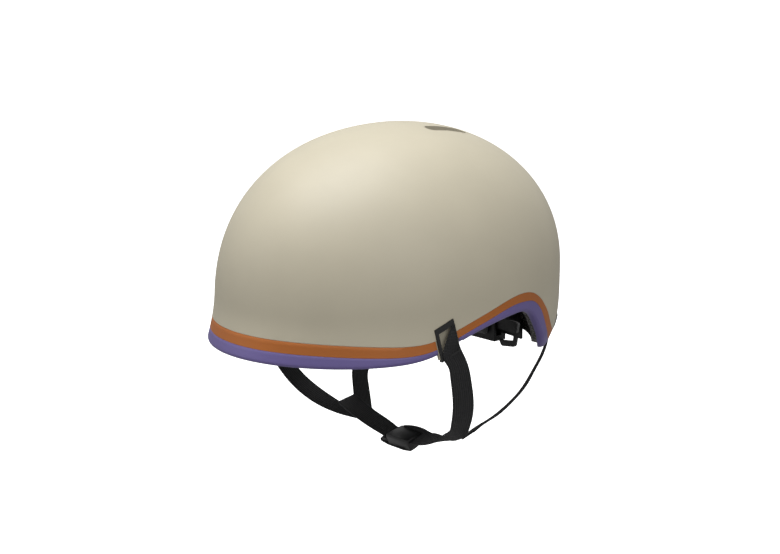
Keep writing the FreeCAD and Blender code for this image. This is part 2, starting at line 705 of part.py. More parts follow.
def band_stations(side, end_z):
    """Path of one fit band from its temple pin to the end of its rack."""
    tall = (0, 0, 1)
    rack_y = size("yoke_rear_y") - 6.7
    path = [(79.2, size("temple_y"), size("temple_z")), (84.5, -30, 21.5), (86.0, 0, 23), (81.5, 35, 18.5),
            (69, 67, 7), (53, rack_y - 8.2, end_z + 4), (41, rack_y - 1.5, end_z), (32, rack_y - 0.3, end_z),
            (24.2, rack_y, end_z)]
    return [((side * x, y, z), tall) for x, y, z in path]


def build_bands():
    """Two fit bands; each has a collar round its temple pin and a rack in the housing."""
    hole_radius = size("temple_pin_radius") + size("running_clearance")
    for side, name, upper in ((1, "fit_band_left", True), (-1, "fit_band_right", False)):
        offset = size("pinion_pitch_radius") + size("tooth_height") / 2 + 1.4
        end_z = size("dial_z") + (offset if upper else -offset) * 0.35
        band = ribbon(band_stations(side, end_z), size("band_height"), size("band_thickness"))
        eye_start = Vector(side * 78.0, size("temple_y"), size("temple_z"))
        eye = Part.makeCylinder(7.5, 2.4, eye_start, Vector(side, 0, 0))
        hole_start = Vector(side * 60, size("temple_y"), size("temple_z"))
        hole = Part.makeCylinder(hole_radius, 40, hole_start, Vector(side, 0, 0))
        rail = rack(side, upper)
        solid = band.fuse([eye, rail]).cut(hole)
        feature_from(name, biggest(solid))


def build_detent_spring():
    """Spring washer between the yoke and the knob that gives the dial its clicks."""
    seat = Vector(0, size("yoke_rear_y") + size("yoke_wall") + 0.2, size("dial_z"))
    ring = Part.makeCylinder(8.0, 0.5, seat, Vector(0, 1, 0))
    bore = Part.makeCylinder(size("temple_pin_radius") + 0.6, 0.5, seat, Vector(0, 1, 0))
    crest = Part.makeBox(3.0, 0.9, 2.0, seat + Vector(-1.5, 0.2, 5.5))
    feature_from("detent_spring", ring.fuse(crest).cut(bore))


def build_nape_pad():
    """Cushion on the head side of the dial housing."""
    front_y = plate_front() - size("housing_depth") - 0.3
    half = size("housing_half_width") - 2
    block = Part.makeBox(2 * half, 4.5, 20, Vector(-half, front_y - 4.5, size("dial_z") - 10))
    edges = [edge for edge in block.Edges if abs(edge.tangentAt(edge.FirstParameter).y) > 0.9]
    feature_from("nape_pad", block.makeFillet(4.0, edges))


# ---------------------------------------------------------------- strap harness
BUCKLE_HINT = (0.0, 0.865, 0.502)
FAR_FRONT = (0.1, 0.9, -0.35)
REAR_HINT = (0.73, -0.65, 0.2)
# each station: centre of the webbing, then the direction its width points in
FRONT_PATHS = {
    1: [((106.6, -31.5, -4.5), (0.0, 0.95, 0.3)), ((104.5, -27.2, -15.0), (0.0, 0.95, 0.3)),
        ((100.5, -21.4, -29.0), (0.0, 0.94, 0.33)), ((95.0, -15.8, -42.0), (-0.1, 0.97, 0.1)),
        ((87.0, -9.5, -54.0), (-0.1, 0.98, -0.1)), ((78.0, -3.5, -63.5), (0.0, 0.95, -0.25))],
    -1: [((-107.3, -33.8, -2.4), FAR_FRONT), ((-107.5, -24.0, -25.0), FAR_FRONT),
         ((-105.0, -12.0, -50.0), FAR_FRONT), ((-97.0, -4.0, -65.0), FAR_FRONT),
         ((-87.0, 4.0, -76.5), FAR_FRONT), ((-76.0, 14.0, -83.5), FAR_FRONT)],
}
CHIN_PATHS = {
    1: [((68.0, 4.0, -71.0), (0.0, 0.94, -0.3)), ((53.0, 9.0, -77.5), (0.0, 0.99, -0.1)),
        ((38.0, 13.0, -82.0), (0.0, 0.97, 0.25)), ((25.0, 16.0, -85.3), (0.0, 0.9, 0.42)),
        ((15.2, 17.3, -87.6), BUCKLE_HINT)],
    -1: [((-62.0, 15.0, -79.6), (0.0, 0.9, 0.43)), ((-45.0, 16.0, -83.6), (0.0, 0.88, 0.47)),
         ((-28.0, 17.5, -88.0), BUCKLE_HINT), ((-15.2, 18.4, -91.0), BUCKLE_HINT)],
}
REAR_PATHS = {
    1: [(69.5, 95.5, -18.0), (68.0, 92.0, -27.0), (66.0, 86.0, -37.5), (65.0, 78.0, -47.8), (65.0, 61.4, -58.8),
        (66.0, 43.5, -65.9), (67.5, 32.0, -68.6)],
    -1: [(-69.5, 95.5, -18.5), (-73.0, 89.0, -26.0), (-76.0, 76.0, -34.0), (-76.5, 60.0, -41.5),
         (-74.5, 48.0, -50.0), (-71.5, 40.0, -64.0)],
}


def side_name(side):
    return "left" if side > 0 else "right"


def build_straps():
    wide, thick = size("webbing_width"), size("webbing_thickness")
    for side in (1, -1):
        name = side_name(side)
        feature_from("front_strap_" + name, ribbon(FRONT_PATHS[side], wide, thick))
        feature_from("chin_strap_" + name, ribbon(CHIN_PATHS[side], wide, thick))
        rear_hint = (side * REAR_HINT[0], REAR_HINT[1], REAR_HINT[2])
        rear = [(point, rear_hint) for point in REAR_PATHS[side]]
        feature_from("rear_strap_" + name, ribbon(rear, wide * 0.75, thick))
        feature_from("strap_junction_" + name, junction_patch(side))


def junction_patch(side):
    """Sewn patch where the front, rear and chin straps of one side meet."""
    front_end = Vector(*FRONT_PATHS[side][-1][0])
    chin_start, hint = CHIN_PATHS[side][0]
    rear_end = Vector(*REAR_PATHS[side][-1])
    run = (Vector(*chin_start) - front_end).normalize()
    seam = (front_end + Vector(*chin_start)) * 0.5
    across = rear_end - seam
    across = (across - run * across.dot(run)).normalize()
    length = (Vector(*chin_start) - front_end).Length - 7.0
    reach = (rear_end - seam).Length - 3.0
    return oriented_block(seam, run, run.cross(across), ((-length / 2, length / 2), (-8, reach), (-1.6, 1.6)))


def sector(name, x_low, x_high, inner_expression, outer_expression, half_arc="sizes.buckle_half_arc"):
    """Curved plate about the harness pivot line, centred on the buckle's angle."""
    pivot = Vector(x_low, size("harness_pivot_y"), size("harness_pivot_z"))
    start_turn = size("buckle_angle") - size("buckle_half_arc")
    # local Z along +X and local X towards the plate's first edge
    turn = Rotation(Vector(1, 0, 0), start_turn).multiply(
        Rotation(Vector(0, 1, 0), Vector(0, 0, 1), Vector(1, 0, 0), "ZXY"))
    place = Placement(pivot, turn)
    rings = []
    for label, radius in (("outer", outer_expression), ("inner", inner_expression)):
        rings.append(primitive("Cylinder", name + "_" + label, place, Radius=radius,
                               Height=str(x_high - x_low), Angle="2 * " + half_arc))
    return cut(name + "_sector", rings[0], rings[1])


BASE_IN = "sizes.base_plate_inner_radius"
BASE_OUT = BASE_IN + " + sizes.plate_thickness"
MATE = BASE_OUT + " + sizes.hook_height"
TOP_IN = MATE + " + sizes.plate_gap"
TOP_OUT = TOP_IN + " + sizes.plate_thickness"


def build_buckle():
    """Two curved plates with hooks that take the strap tension; they part by sliding sideways."""
    half = size("buckle_half_length")
    hook, gap = size("hook_width"), size("plate_gap")
    base_wall = sector("base_wall", -half, half, BASE_IN, BASE_OUT)
    base_hook = sector("base_hook", -half, -half + hook, BASE_OUT + " - 0.2", MATE)
    base = fuse("buckle_base_body", [base_wall, base_hook])
    base = cut("buckle_base_pocketed", base, magnet("base_magnet_pocket", 0.05, BASE_OUT, -1))
    keep(base, "buckle_base")
    keep(magnet("base_magnet_disc", 0, BASE_OUT, -1), "base_magnet")
    top_wall = sector("top_wall", -half, half, TOP_IN, TOP_OUT)
    top_hook = sector("top_hook", -half + hook + gap, -half + 2 * hook + gap,
                      BASE_OUT + " + sizes.plate_gap", TOP_IN + " + 0.2")
    top = fuse("buckle_top_body", [top_wall, top_hook])
    top = cut("buckle_top_pocketed", top, magnet("top_magnet_pocket", 0.05, TOP_IN, 1))
    keep(top, "buckle_top")
    keep(magnet("top_magnet_disc", 0, TOP_IN, 1), "top_magnet")


def magnet(name, grow, face_expression, sign):
    """Round magnet let into a buckle plate's mating face."""
    angle = math.radians(size("buckle_angle"))
    outward = Vector(0, math.cos(angle), math.sin(angle))
    pivot = Vector(3.0, size("harness_pivot_y"), size("harness_pivot_z"))
    inset = 0.35
    reach = {BASE_OUT: size("base_plate_inner_radius") + size("plate_thickness"),
             TOP_IN: size("base_plate_inner_radius") + size("plate_thickness") + size("hook_height")
             + size("plate_gap")}[face_expression]
    depth = size("magnet_thickness") + grow
    near = reach + sign * inset
    start = near if sign > 0 else near - depth
    disc = primitive("Cylinder", name, Placement(pivot + outward * start, Rotation(Vector(0, 0, 1), outward)),
                     Radius="sizes.magnet_radius + %s" % grow, Height="sizes.magnet_thickness + %s" % grow)
    return disc


def build_guides():
    """Strap guides at the temples and at the nape, with the folded webbing ends they hold."""
    proud = size("guide_proud")
    front_place = axes_placement(FRONT_CORNER + FRONT_OUT * proud, FRONT_ACROSS, FRONT_OUT)
    left = keep(guide_frame("front_guide_body", front_place, "guide_height"), "front_strap_guide_left")
    mirrored("front_strap_guide_right", left)
    rear_place = axes_placement(REAR_CORNER + REAR_OUT * proud, REAR_ACROSS, REAR_OUT)
    left = keep(guide_frame("rear_guide_body", rear_place, "rear_guide_height"), "rear_strap_guide_left")
    mirrored("rear_strap_guide_right", left)

    over_frame = proud + 0.1
    fold_place = axes_placement(FRONT_CORNER + FRONT_OUT * over_frame, FRONT_ACROSS, FRONT_OUT)
    wide, tall, bar = size("guide_width"), size("guide_height"), size("guide_top_bar")
    below = -tall - 1.5
    fold = [(u + size("guide_lean") * v, v) for u, v in
            ((wide - 1.4, -bar - 0.6), (wide, below), (1.6, below), (2.2, below + 5.5))]
    left = feature_from("front_strap_end_left", strap_end("fold", fold_place, fold))
    mirrored("front_strap_end_right", left)


def check_and_export():
    """Stop on any failed object or shape, then write one file for each sub-part."""
    doc.recompute()
    for item in doc.Objects:
        if {"Invalid", "Error"} & set(item.State):
            raise RuntimeError("%s failed: %s" % (item.Name, item.State))
    for item in SUB_PARTS:
        if item.Shape.isNull() or not item.Shape.isValid() or not item.Shape.Solids:
            raise RuntimeError("%s has no valid solid" % item.Label)
    os.makedirs("parts", exist_ok=True)
    for item in SUB_PARTS:
        item.Shape.exportStep("parts/%s.step" % item.Label)


dome_solid = build_shell_layers()
build_vent_ducts(dome_solid)
build_anchors()
build_temple_pin()
build_pads()
build_yoke()
build_housing()
build_screws()
build_knob()
build_pinion()
build_bands()
build_detent_spring()
build_nape_pad()
build_guides()
build_straps()
build_buckle()
check_and_export()
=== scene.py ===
"""Looks of the urban cycling helmet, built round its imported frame.

The helmet faces -Y, the wearer's left is +X and +Z is up. Shapes are worked out in
millimetres and turned into metres as their meshes are made.
"""
import math

import bmesh
import bpy
import numpy as np
from mathutils import Matrix, Vector


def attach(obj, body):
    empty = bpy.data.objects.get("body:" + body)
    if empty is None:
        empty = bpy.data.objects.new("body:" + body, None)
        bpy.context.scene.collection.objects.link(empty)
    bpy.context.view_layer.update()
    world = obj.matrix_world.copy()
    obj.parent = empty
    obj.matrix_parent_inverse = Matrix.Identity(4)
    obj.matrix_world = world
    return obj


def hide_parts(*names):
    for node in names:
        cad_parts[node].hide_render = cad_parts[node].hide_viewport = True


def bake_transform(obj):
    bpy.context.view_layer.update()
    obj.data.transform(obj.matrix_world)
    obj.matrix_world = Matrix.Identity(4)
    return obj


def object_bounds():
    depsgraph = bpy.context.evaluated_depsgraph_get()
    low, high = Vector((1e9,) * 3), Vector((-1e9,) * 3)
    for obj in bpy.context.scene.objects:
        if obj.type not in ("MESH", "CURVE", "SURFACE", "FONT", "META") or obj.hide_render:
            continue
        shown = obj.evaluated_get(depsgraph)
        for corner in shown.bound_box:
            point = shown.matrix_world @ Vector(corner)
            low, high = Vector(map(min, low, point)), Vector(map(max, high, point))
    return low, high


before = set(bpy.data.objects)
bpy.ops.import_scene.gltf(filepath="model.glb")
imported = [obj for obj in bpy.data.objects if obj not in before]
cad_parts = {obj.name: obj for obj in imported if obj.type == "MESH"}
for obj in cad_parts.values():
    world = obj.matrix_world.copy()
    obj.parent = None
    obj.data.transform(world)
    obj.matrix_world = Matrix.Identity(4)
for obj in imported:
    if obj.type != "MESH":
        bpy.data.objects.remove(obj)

CAD_BOX = [list(corner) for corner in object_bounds()]
MM = 0.001
LEFT, RIGHT = 1, -1

# ---------------------------------------------------------------- the dome's sizes, as in the frame
HALF_WIDTH, FRONT_REACH, REAR_REACH, CROWN, DOME_LEAN = 108.4, 140.1, 140.4, 149.7, 4.9
FRONT_LEVEL, SIDE_LEVEL, REAR_LEVEL = 29.1, 31.7, 44.0
FRONT_ROUND, SIDE_ROUND, REAR_ROUND = 2.29, 2.09, 2.02
BRIM_FLARE, FLARE_LEVEL, FLARE_POWER, SIDE_FLARE = 6.5, 34.0, 1.8, 0.45
TUCK_DEPTH, TUCK_POWER = 56.0, 4.2                  # how the rear draws in below its widest level
LEAN_BASE, LEAN_SPAN = 13.0, 162.0                  # the dome leans back from this far below zero
SHELL_WALL, BAND_GAP, TRIM_LIP, REAR_TUCK = 2.0, 0.04, 5.5, 0.13

# side view of the rim: distance back, rim, top of the trim, top of the stripe
RIM_LINES = np.array([
    (-175, 2.0, 10.5, 18.5), (-120, 0.0, 9.0, 17.0), (-85, 0.0, 6.8, 14.3), (-52, 3.8, 8.4, 14.6),
    (-27, 12.4, 16.8, 22.2), (0, 19.4, 24.8, 30.4), (25, 22.6, 30.0, 36.0), (40, 21.3, 29.6, 35.8),
    (48, 16.2, 27.6, 33.6), (54, 8.4, 23.6, 30.4), (60, -1.0, 16.6, 26.0), (65, -8.2, 7.0, 20.8),
    (70, -12.4, -2.0, 14.6), (76, -14.4, -7.5, 4.6), (84, -15.2, -9.8, -2.0), (95, -15.5, -10.5, -4.6),
    (125, -16.0, -11.0, -5.5), (175, -15.5, -10.5, -5.0)])
RIM, TRIM_TOP, STRIPE_TOP = 1, 2, 3
AROUND = 400                                        # columns round the dome
ANGLES = np.linspace(0, 2 * np.pi, AROUND, endpoint=False)


def along_bar(outward, slope):
    """Direction of a guide's top bar: level on the shell, then turned up by the slope."""
    level = Vector((-outward.y, outward.x, 0)).normalized()
    return level * math.cos(slope) + outward.cross(level) * math.sin(slope)


# strap guides: top front corner, direction along the top bar, direction out of the shell
GUIDE_SLOPE, GUIDE_WIDTH, GUIDE_LEAN = math.radians(24.3), 16.2, 0.24
FRONT_OUT = Vector((0.953, -0.275, 0.127)).normalized()
FRONT_ACROSS = along_bar(FRONT_OUT, GUIDE_SLOPE)
FRONT_CORNER = Vector((101.5, -49.8, 22.8))
REAR_OUT = Vector((0.650, 0.640, -0.410)).normalized()
REAR_ACROSS = along_bar(REAR_OUT, 0)
REAR_CORNER = Vector((73.0, 102.5, 3.0))
HARNESS_PIVOT = Vector((0, -40.0, 8.0))


# ---------------------------------------------------------------- curves and the dome surface
def smooth_line(knots, values):
    """Natural cubic spline through (knots, values), returned as a function."""
    knots, values = np.asarray(knots, float), np.asarray(values, float)
    steps, count = np.diff(knots), len(knots)
    matrix, right = np.eye(count), np.zeros(count)
    for i in range(1, count - 1):
        matrix[i, i - 1:i + 2] = steps[i - 1], 2 * (steps[i - 1] + steps[i]), steps[i]
        after, before = (values[i + 1] - values[i]) / steps[i], (values[i] - values[i - 1]) / steps[i - 1]
        right[i] = 6 * (after - before)
    bend = np.linalg.solve(matrix, right)

    def evaluate(at):
        at = np.clip(at, knots[0], knots[-1])
        i = np.clip(np.searchsorted(knots, at) - 1, 0, count - 2)
        left, gap = at - knots[i], knots[i + 1] - at
        return ((bend[i] * gap ** 3 + bend[i + 1] * left ** 3) / (6 * steps[i])
                + (values[i] / steps[i] - bend[i] * steps[i] / 6) * gap
                + (values[i + 1] / steps[i] - bend[i + 1] * steps[i] / 6) * left)
    return evaluate


LINES = {column: smooth_line(RIM_LINES[:, 0], RIM_LINES[:, column])
         for column in (RIM, TRIM_TOP, STRIPE_TOP)}
LEVEL_ROUNDS = 14                                   # enough for the height on the dome to settle


def bulge(level, widest, top, roundness):
    """1 at and below the widest level, falling to 0 at the top on a superellipse."""
    rise = np.clip((level - widest) / (top - widest), 0, 1)
    return (1 - rise ** roundness) ** (1 / roundness)


def dome_lean(level):
    """How far back the middle of the dome lies at a level."""
    return DOME_LEAN * (level + LEAN_BASE) / LEAN_SPAN


def dome_points(angle, level, inset):
    """Points of the dome, moved inwards by inset; angle 0 is the wearer's left, 90 degrees the rear."""
    top = CROWN - inset
    flare = BRIM_FLARE * (np.clip(FLARE_LEVEL - level, 0, FLARE_LEVEL) / FLARE_LEVEL) ** FLARE_POWER
    wide = (HALF_WIDTH - inset) * bulge(level, SIDE_LEVEL, top, SIDE_ROUND) + SIDE_FLARE * flare
    front = (FRONT_REACH - inset) * bulge(level, FRONT_LEVEL, top, FRONT_ROUND) + flare
    rear = (REAR_REACH - inset) * bulge(level, REAR_LEVEL, top, REAR_ROUND)
    rear = rear * (1 - REAR_TUCK * (np.clip(REAR_LEVEL - level, 0, None) / TUCK_DEPTH) ** TUCK_POWER)
    reach = np.where(np.sin(angle) > 0, rear, front)
    back = dome_lean(level) + reach * np.sin(angle)
    return np.stack([wide * np.cos(angle), back, level + 0 * angle], axis=-1)


def line_level(column):
    """Height of one rim line at every column round the dome."""
    level = np.zeros(AROUND)
    for _ in range(LEVEL_ROUNDS):
        level = LINES[column](dome_points(ANGLES, level, 0)[:, 1])
    return level


# ---------------------------------------------------------------- mesh helpers
def link(name, mesh):
    """New object of the model, placed in the scene."""
    piece = bpy.data.objects.new(name, mesh)
    bpy.context.scene.collection.objects.link(piece)
    return piece


def mesh_from(name, points, faces):
    """Object from points in millimetres; its faces are turned outwards."""
    mesh = bpy.data.meshes.new(name)
    mesh.from_pydata([tuple(p * MM for p in point) for point in points], [], faces)
    work = bmesh.new()
    work.from_mesh(mesh)
    bmesh.ops.recalc_face_normals(work, faces=work.faces)
    work.to_mesh(mesh)
    work.free()
    mesh.update()
    return link(name, mesh)


def smooth_by_angle(piece, degrees=32):
    """Smooth shading that keeps edges sharper than the given angle crisp."""
    work = bmesh.new()
    work.from_mesh(piece.data)
    limit = math.radians(degrees)
    for face in work.faces:
        face.smooth = True
    for edge in work.edges:
        edge.smooth = len(edge.link_faces) == 2 and edge.calc_face_angle(0) < limit
    work.to_mesh(piece.data)
    work.free()


def loops_around(rows, closed=True):
    """Points and faces of rings joined one to the next, and the last to the first if closed."""
    count = rows[0].shape[0]
    points = np.concatenate(rows)
    faces = []
    for i in range(len(rows) if closed else len(rows) - 1):
        here, there = i * count, ((i + 1) % len(rows)) * count
        for j in range(count):
            k = (j + 1) % count
            faces.append((here + j, here + k, there + k, there + j))
    return points, faces


def settle(piece):
    """Replace a piece's mesh by the result of its modifiers."""
    graph = bpy.context.evaluated_depsgraph_get()
    mesh = bpy.data.meshes.new_from_object(piece.evaluated_get(graph))
    piece.modifiers.clear()
    piece.data = mesh


def carve(piece, cutters):
    """Cut closed shapes out of a piece."""
    for cutter in cutters:
        boolean = piece.modifiers.new("cut", "BOOLEAN")
        boolean.object = cutter
        boolean.solver = "EXACT"
    settle(piece)


def remove(pieces):
    for piece in pieces:
        bpy.data.objects.remove(piece)


def finish_piece(piece, body, material):
    """Give a piece its body and its material."""
    piece.data.materials.clear()
    piece.data.materials.append(material)
    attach(piece, body)
    return piece


# ---------------------------------------------------------------- materials
class Finish:
    """One node material, built up step by step."""

    def __init__(self, name, colour, roughness, metallic=0.0, sheen=0.0):
        self.material = bpy.data.materials.new(name)
        self.material.use_nodes = True
        self.tree = self.material.node_tree
        self.shader = self.tree.nodes["Principled BSDF"]
        self.shader.inputs["Base Color"].default_value = (*colour, 1)
        self.shader.inputs["Roughness"].default_value = roughness
        self.shader.inputs["Metallic"].default_value = metallic
        if sheen:
            self.shader.inputs["Sheen Weight"].default_value = sheen
            self.shader.inputs["Sheen Roughness"].default_value = 0.5
        self.height = None
        coordinates = self.node("ShaderNodeTexCoord")
        self.place = coordinates.outputs["Object"]
        self.uv = coordinates.outputs["UV"]

    def node(self, kind, **settings):
        made = self.tree.nodes.new(kind)
        for key, value in settings.items():
            setattr(made, key, value)
        return made

    def join(self, source, target):
        self.tree.links.new(source, target)

    def math(self, operation, first, second=None):
        made = self.node("ShaderNodeMath", operation=operation)
        for index, value in enumerate((first, second)):
            if value is None:
                continue
            if isinstance(value, (int, float)):
                made.inputs[index].default_value = value
            else:
                self.join(value, made.inputs[index])
        return made.outputs[0]

    def noise(self, scale, detail=3.0, where=None):
        made = self.node("ShaderNodeTexNoise")
        made.inputs["Scale"].default_value = scale
        made.inputs["Detail"].default_value = detail
        self.join(where or self.place, made.inputs["Vector"])
        return made.outputs[0]

    def cells(self, scale, feature="F1", where=None):
        made = self.node("ShaderNodeTexVoronoi", feature=feature)
        made.inputs["Scale"].default_value = scale
        self.join(where or self.place, made.inputs["Vector"])
        return made

    def vary(self, factor, low_colour, high_colour, low=0.35, high=0.65):
        """Base colour that runs between two colours as factor goes from low to high."""
        ramp = self.node("ShaderNodeValToRGB")
        ramp.color_ramp.elements[0].position = low
        ramp.color_ramp.elements[0].color = (*low_colour, 1)
        ramp.color_ramp.elements[1].position = high
        ramp.color_ramp.elements[1].color = (*high_colour, 1)
        self.join(factor, ramp.inputs[0])
        self.join(ramp.outputs[0], self.shader.inputs["Base Color"])
        return ramp.outputs[0]

    def rough_from(self, factor, low, high):
        spread = self.node("ShaderNodeMapRange")
        spread.inputs["To Min"].default_value = low
        spread.inputs["To Max"].default_value = high
        self.join(factor, spread.inputs["Value"])
        self.join(spread.outputs[0], self.shader.inputs["Roughness"])

    def bump(self, height, distance_mm, strength=1.0):
        made = self.node("ShaderNodeBump")
        made.inputs["Strength"].default_value = strength
        made.inputs["Distance"].default_value = distance_mm * MM
        self.join(height, made.inputs["Height"])
        if self.height is not None:
            self.join(self.height, made.inputs["Normal"])
        self.height = made.outputs[0]
        self.join(self.height, self.shader.inputs["Normal"])


def painted_shell(name, colour, roughness=0.5, spread=0.05):
    """Matte moulded shell: faint orange peel, slow colour drift and fine dust-like grain."""
    finish = Finish(name, colour, roughness)
    darker = tuple(c * (1 - spread) for c in colour)
    lighter = tuple(min(c * (1 + spread), 1) for c in colour)
    finish.vary(finish.noise(14, 4), darker, lighter)
    finish.rough_from(finish.noise(240, 2), roughness - 0.05, roughness + 0.07)
    finish.bump(finish.noise(900, 2), 0.02, 0.5)
    finish.bump(finish.noise(4200, 1), 0.006, 0.6)
    finish.shader.inputs["Coat Weight"].default_value = 0.06
    finish.shader.inputs["Coat Roughness"].default_value = 0.42
    return finish.material


def moulded_plastic(name, colour=(0.004, 0.004, 0.0044), roughness=0.46):
    """Black nylon with a fine spark-eroded grain and slightly rubbed patches."""
    finish = Finish(name, colour, roughness)
    rubbed = tuple(c * 1.7 + 0.002 for c in colour)
    finish.vary(finish.noise(90, 5), colour, rubbed, 0.45, 0.8)
    finish.rough_from(finish.noise(60, 4), roughness - 0.1, roughness + 0.12)
    finish.bump(finish.cells(2600).outputs["Distance"], 0.02, 0.5)
    return finish.material


def bead_foam(name):
    """Expanded bead foam: fused beads about 3 mm across with darker joints."""
    finish = Finish(name, (0.06, 0.057, 0.052), 0.72)
    beads = finish.cells(330)
    edges = finish.cells(330, "DISTANCE_TO_EDGE").outputs["Distance"]
    seam = finish.math("MINIMUM", finish.math("MULTIPLY", edges, 5.0), 1.0)
    tint = finish.math("MULTIPLY", beads.outputs["Distance"], 0.25)
    joint_colour, bead_colour = (0.04, 0.038, 0.036), (0.12, 0.114, 0.105)
    finish.vary(finish.math("SUBTRACT", seam, tint), joint_colour, bead_colour, 0.1, 0.9)
    finish.bump(seam, 0.25, 0.6)
    finish.bump(finish.noise(2500, 2), 0.03, 0.5)
    finish.rough_from(seam, 0.85, 0.62)
    return finish.material


def weave(name, colour=(0.0055, 0.0055, 0.006), pitch_mm=1.6):
    """Flat polyester webbing: staggered ribs from UVs laid out in metres, with single yarns; the colour
    follows the rib height, a painted highlight on the crests and painted shade in the grooves.
    """
    finish = Finish(name, colour, 0.66, sheen=0.03)
    finish.shader.inputs["Specular IOR Level"].default_value = 0.3
    split = finish.node("ShaderNodeSeparateXYZ")
    finish.join(finish.uv, split.inputs[0])
    turn = 2 * math.pi / (pitch_mm * MM)
    across = finish.math("MULTIPLY", split.outputs[0], turn)
    along = finish.math("MULTIPLY", split.outputs[1], turn * 0.8)
    rib = finish.math("SINE", finish.math("ADD", along, finish.math("MULTIPLY", across, 0.5)))
    slant = finish.math("MULTIPLY", across, 0.5)
    counter = finish.math("SINE", finish.math("SUBTRACT", along, slant))
    blocks = finish.math("MULTIPLY", rib, counter)
    yarns = finish.math("SINE", finish.math("MULTIPLY", across, 2.0))
    height = finish.math("ADD", blocks, finish.math("MULTIPLY", yarns, 0.25))
    # colour follows the rib height: a painted highlight on the rib crests and painted shade in the
    # grooves
    level = finish.math("ADD", finish.math("MULTIPLY", height, 0.4), 0.5)
    painted_rib_highlight = tuple(c * 4.0 + 0.004 for c in colour)
    finish.vary(level, tuple(c * 0.5 for c in colour), painted_rib_highlight, 0.2, 0.95)
    finish.bump(height, 0.16, 0.9)
    finish.bump(finish.noise(3000, 2), 0.03, 0.5)
    return finish.material


def knit(name, colour=(0.017, 0.017, 0.018)):
    """Brushed knit over pad foam, with soft fuzz and small loops."""
    finish = Finish(name, colour, 0.85, sheen=0.6)
    loops = finish.cells(1500).outputs["Distance"]
    finish.vary(finish.noise(700, 4), tuple(c * 0.6 for c in colour), tuple(c * 2.2 for c in colour))
    finish.bump(loops, 0.25, 0.7)
    finish.bump(finish.noise(260, 3), 0.2, 0.4)
    return finish.material


def worn_steel(name, colour=(0.55, 0.55, 0.56), roughness=0.3):
    finish = Finish(name, colour, roughness, metallic=1.0)
    finish.rough_from(finish.noise(500, 4), roughness - 0.08, roughness + 0.16)
    finish.vary(finish.noise(120, 4), tuple(c * 0.75 for c in colour), colour)
    finish.bump(finish.noise(2500, 2), 0.01, 0.4)
    return finish.material


SHELL = painted_shell("shell_beige", (0.500, 0.458, 0.350), spread=0.03)
STRIPE = painted_shell("stripe_orange", (0.400, 0.115, 0.012), 0.5)
TRIM = painted_shell("trim_purple", (0.135, 0.105, 0.290), 0.46)
FOAM = bead_foam("liner_foam")
PLASTIC = moulded_plastic("black_nylon")
SOFT_PLASTIC = moulded_plastic("buckle_nylon", (0.009, 0.009, 0.0095), 0.36)
WEBBING = weave("webbing_black")
PAD = knit("pad_knit")
STEEL = worn_steel("plated_steel")


# ---------------------------------------------------------------- cutters for guides and vents
def prism(name, outline, corner, across, outward, depth_in, depth_out):
    """Closed prism from an outline in a guide's plane (along the bar, up), in millimetres."""
    upward = outward.cross(across)
    points = []
    for depth in (-depth_in, depth_out):
        points += [corner + across * u + upward * v + outward * depth for u, v in outline]
    count = len(outline)
    faces = [tuple(range(count)), tuple(range(2 * count - 1, count - 1, -1))]
    faces += [(i, (i + 1) % count, (i + 1) % count + count, i + count) for i in range(count)]
    return mesh_from(name, points, faces)


def rounded_exit(grow, bend, drop, radius=4.5, steps=8):
    """Leaning slot outline open downwards; its rear lower corner flares out on a round."""
    left, right = -0.2 - grow, GUIDE_WIDTH + 0.2 + grow
    outline = [(left, 0.2), (right, 0.2)]
    for step in range(steps + 1):
        turn = math.radians(90) * step / steps
        outline.append((right + radius * (1 - math.cos(turn)), bend - radius * math.sin(turn)))
    outline += [(right + radius, -drop), (left, -drop)]
    return [(u + GUIDE_LEAN * v, v) for u, v in outline]


def flipped(piece, name):
    """Mirror image of a cutter across the middle plane."""
    mesh = piece.data.copy()
    mesh.transform(Matrix.Scale(-1, 4, (1, 0, 0)))
    mesh.flip_normals()
    return link(name, mesh)


POCKET_DEPTH, CUTTER_REACH = 5.0, 14.0


def pocket_cutters(grow=0.0):
    """Cutters for the four strap guides."""
    made = []
    front = rounded_exit(grow, bend=-13.0, drop=46)
    rear = rounded_exit(grow, bend=-9.0, drop=30, radius=2.5)
    for name, outline, corner, across, outward in (
            ("front_slot", front, FRONT_CORNER, FRONT_ACROSS, FRONT_OUT),
            ("rear_slot", rear, REAR_CORNER, REAR_ACROSS, REAR_OUT)):
        cutter = prism(name, outline, corner, across, outward, POCKET_DEPTH, CUTTER_REACH)
        made += [cutter, flipped(cutter, name + "_right")]
    return made


def pocket_tray(name, corner, across, outward, drop):
    """Shell-coloured tray that lines one pocket behind its strap guide."""
    wall, depth, rim, slack = 0.8, 3.7, -0.7, 0.1
    open_end, above_shell = drop + 2, 8.0
    outline = [(-wall, wall), (GUIDE_WIDTH + wall, wall), (GUIDE_WIDTH + wall, -drop), (-wall, -drop)]
    hollow = [(-slack, slack), (GUIDE_WIDTH + slack, slack), (GUIDE_WIDTH + slack, -open_end),
              (-slack, -open_end)]
    lean = [[(u + GUIDE_LEAN * v, v) for u, v in shape] for shape in (outline, hollow)]
    tray = prism(name, lean[0], corner, across, outward, depth, rim)
    inner = prism(name + "_hollow", lean[1], corner, across, outward, depth - wall, above_shell)
    carve(tray, [inner])
    remove([inner])
    return tray


def pocket_trays():
    """The four trays behind the guides."""
    for name, corner, across, outward, drop in (
            ("front_tray", FRONT_CORNER, FRONT_ACROSS, FRONT_OUT, 20.5),
            ("rear_tray", REAR_CORNER, REAR_ACROSS, REAR_OUT, 11.0)):
        tray = pocket_tray(name, corner, across, outward, drop)
        for piece in (tray, flipped(tray, name + "_right")):
            finish_piece(piece, "helmet", SHELL)


VENT_OFFSET, VENT_FRONT, VENT_REAR, VENT_WIDTH = 22.0, 17.0, 55.0, 10.0


